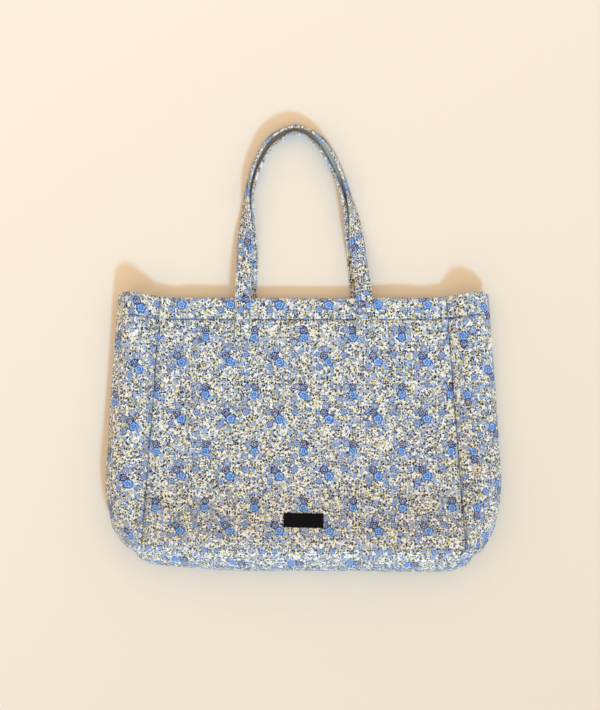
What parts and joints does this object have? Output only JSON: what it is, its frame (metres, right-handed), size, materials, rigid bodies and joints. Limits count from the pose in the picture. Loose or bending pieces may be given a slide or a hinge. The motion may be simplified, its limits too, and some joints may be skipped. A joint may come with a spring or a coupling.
{
  "type": "tote bag for knitting",
  "caption": "Lightly padded cloth tote bag with a gusset and two long strap handles, lying flat on its back with its mouth open.",
  "frame": {"origin": "under the middle of the whole outline, on the surface that the bag lies on", "axes": "+X to the bag's right as it lies on its back, +Y up the bag from its base to its handles, +Z away from its back"},
  "size_m": [0.4982, 0.563, 0.066],
  "materials": {
    "print_cloth": "plain-weave cotton, small flower print in blues on off-white",
    "lining": "plain off-white cotton",
    "wadding": "thin needled wadding",
    "webbing": "woven cotton webbing",
    "thread": "sewing thread",
    "label_tape": "black woven tape"
  },
  "bodies": {
    "back_wall": {"back_panel": "print_cloth", "back_wadding": "wadding", "back_lining": "lining", "back_hem": "print_cloth", "back_hem_stitching": "thread", "back_strap_ends": "print_cloth", "back_strap_stitching": "thread", "left_gusset_back": "print_cloth", "right_gusset_back": "print_cloth", "left_gusset_lining_back": "lining", "right_gusset_lining_back": "lining", "left_gusset_wadding_back": "wadding", "right_gusset_wadding_back": "wadding", "back_gusset_hems": "print_cloth", "base_gusset": "print_cloth", "base_wadding": "wadding", "base_lining": "lining"},
    "front_wall": {"front_panel": "print_cloth", "front_wadding": "wadding", "front_lining": "lining", "front_hem": "print_cloth", "front_hem_stitching": "thread", "front_strap_ends": "print_cloth", "front_strap_stitching": "thread", "left_gusset_front": "print_cloth", "right_gusset_front": "print_cloth", "left_gusset_lining_front": "lining", "right_gusset_lining_front": "lining", "left_gusset_wadding_front": "wadding", "right_gusset_wadding_front": "wadding", "front_gusset_hems": "print_cloth", "label": "label_tape", "label_stitching": "thread"},
    "front_handle_loop": {"front_handle": "print_cloth", "front_handle_webbing": "webbing"},
    "back_handle_loop": {"back_handle": "print_cloth", "back_handle_webbing": "webbing"}
  },
  "joints": [
    {"name": "mouth_opening", "type": "hinge", "parent": "back_wall", "child": "front_wall", "pos_m": [0, -0.251, 0.066], "axis": [1, 0, 0], "range_deg": [0, 14]},
    {"name": "front_handle_fold", "type": "hinge", "parent": "front_wall", "child": "front_handle_loop", "pos_m": [0, 0.0636, 0.024], "axis": [1, 0, 0], "range_deg": [0, 170]},
    {"name": "back_handle_fold", "type": "hinge", "parent": "back_wall", "child": "back_handle_loop", "pos_m": [0, 0.0636, 0.0004], "axis": [1, 0, 0], "range_deg": [-170, 0]}
  ]
}
